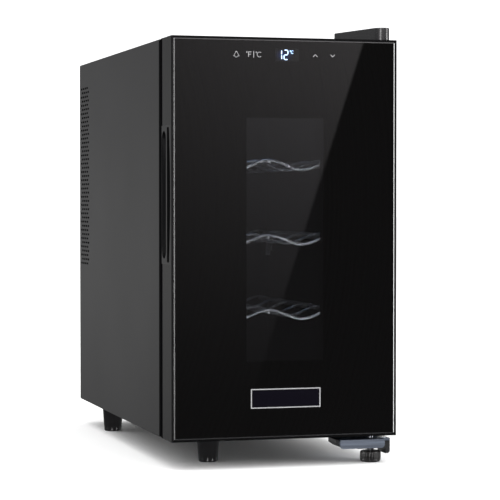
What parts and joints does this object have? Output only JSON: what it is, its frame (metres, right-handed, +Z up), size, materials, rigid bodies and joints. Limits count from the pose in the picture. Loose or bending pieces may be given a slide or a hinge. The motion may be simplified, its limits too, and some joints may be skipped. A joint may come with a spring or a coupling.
{
  "type": "wine cooler",
  "caption": "Slim free-standing wine cooler: hinged glass door with side grip, wavy wire shelves, vented case, thermoelectric unit.",
  "frame": {"origin": "middle of the body's plan on the floor, between the feet", "axes": "+X to the right seen from the front, +Y from the door to the rear, +Z up"},
  "size_m": [0.252, 0.5, 0.476],
  "materials": {
    "case_paint": "satin",
    "door_paint": "satin",
    "underside_paint": "matte",
    "collar_plastic": "matte",
    "liner_plastic": "satin",
    "insulating_foam": "matte",
    "zinc_plate": "satin",
    "hinge_steel": "polished",
    "screw_steel": "satin",
    "nylon": "satin",
    "hinge_plastic": "satin",
    "foot_plastic": "gloss",
    "knob_plastic": "satin",
    "shelf_chrome": "polished",
    "sink_aluminium": "satin",
    "module_ceramic": "matte",
    "fan_plastic": "satin",
    "rotor_plastic": "satin",
    "board": "satin",
    "components": "satin",
    "standoff_nylon": "satin",
    "inlet_plastic": "satin",
    "pin_brass": "polished",
    "lamp_board": "satin",
    "lamp_lens": "satin",
    "sensor_plastic": "satin",
    "pane": "gloss",
    "mask_print": "gloss",
    "spacer": "matte",
    "seal_rubber": "matte",
    "handle_plastic": "satin",
    "display": "gloss",
    "badge_face": "gloss",
    "badge_rim": "polished"
  },
  "bodies": {
    "cabinet": {"back_panel": "underside_paint", "back_panel_screws": "screw_steel", "base_pan": "underside_paint", "board_standoffs": "standoff_nylon", "bulkhead": "zinc_plate", "cold_block": "sink_aluminium", "cold_fan_frame": "fan_plastic", "cold_heatsink": "sink_aluminium", "fan_cover": "liner_plastic", "foam_insulation": "insulating_foam", "foot_screws": "screw_steel", "front_frame": "collar_plastic", "front_left_foot": "foot_plastic", "hinge_cover": "hinge_plastic", "hinge_screws": "screw_steel", "hot_fan_frame": "fan_plastic", "hot_heatsink": "sink_aluminium", "inlet_pins": "pin_brass", "inner_liner": "liner_plastic", "led_board": "lamp_board", "led_lens": "lamp_lens", "levelling_nut": "zinc_plate", "lower_hinge_bracket": "zinc_plate", "lower_hinge_pin": "hinge_steel", "lower_hinge_shroud": "hinge_plastic", "lower_hinge_washer": "nylon", "mains_inlet": "inlet_plastic", "outer_case": "case_paint", "power_board": "board", "power_components": "components", "rear_left_foot": "foot_plastic", "rear_right_foot": "foot_plastic", "temperature_sensor": "sensor_plastic", "thermoelectric_module": "module_ceramic", "upper_hinge_bracket": "zinc_plate", "upper_hinge_pin": "hinge_steel"},
    "door": {"door_frame": "door_paint", "door_glass": "pane", "glass_mask": "mask_print", "glazing_spacer": "spacer", "inner_glass": "pane", "door_back_panel": "liner_plastic", "door_gasket": "seal_rubber", "gasket_magnet": "seal_rubber", "door_foam": "insulating_foam", "control_board": "board", "display_module": "display", "badge_border": "badge_rim", "badge_plate": "badge_face", "handle_insert": "handle_plastic", "lower_door_bush": "nylon", "upper_door_bush": "nylon"},
    "lower_shelf_slide": {"lower_shelf": "shelf_chrome"},
    "middle_shelf_slide": {"middle_shelf": "shelf_chrome"},
    "upper_shelf_slide": {"upper_shelf": "shelf_chrome"},
    "cold_fan": {"cold_fan_rotor": "rotor_plastic"},
    "hot_fan": {"hot_fan_rotor": "rotor_plastic"},
    "levelling_foot": {"levelling_knob": "knob_plastic", "levelling_stud": "zinc_plate"}
  },
  "joints": [
    {"name": "door_hinge", "type": "hinge", "parent": "cabinet", "child": "door", "pos_m": [0.118, -0.224, 0.246], "axis": [0, 0, 1], "range_deg": [0, 120]},
    {"name": "lower_shelf_travel", "type": "slide", "parent": "cabinet", "child": "lower_shelf_slide", "axis": [0, -1, 0], "range_m": [0, 0.016]},
    {"name": "middle_shelf_travel", "type": "slide", "parent": "cabinet", "child": "middle_shelf_slide", "axis": [0, -1, 0], "range_m": [0, 0.016]},
    {"name": "upper_shelf_travel", "type": "slide", "parent": "cabinet", "child": "upper_shelf_slide", "axis": [0, -1, 0], "range_m": [0, 0.016]},
    {"name": "cold_fan_spin", "type": "hinge", "parent": "cabinet", "child": "cold_fan", "pos_m": [0, 0.136, 0.293], "axis": [0, 1, 0], "continuous": true},
    {"name": "hot_fan_spin", "type": "hinge", "parent": "cabinet", "child": "hot_fan", "pos_m": [0, 0.2255, 0.293], "axis": [0, 1, 0], "continuous": true},
    {"name": "levelling_turn", "type": "hinge", "parent": "cabinet", "child": "levelling_foot", "pos_m": [0.1052, -0.2236, 0], "axis": [0, 0, 1], "range_deg": [-1440, 1440]}
  ]
}
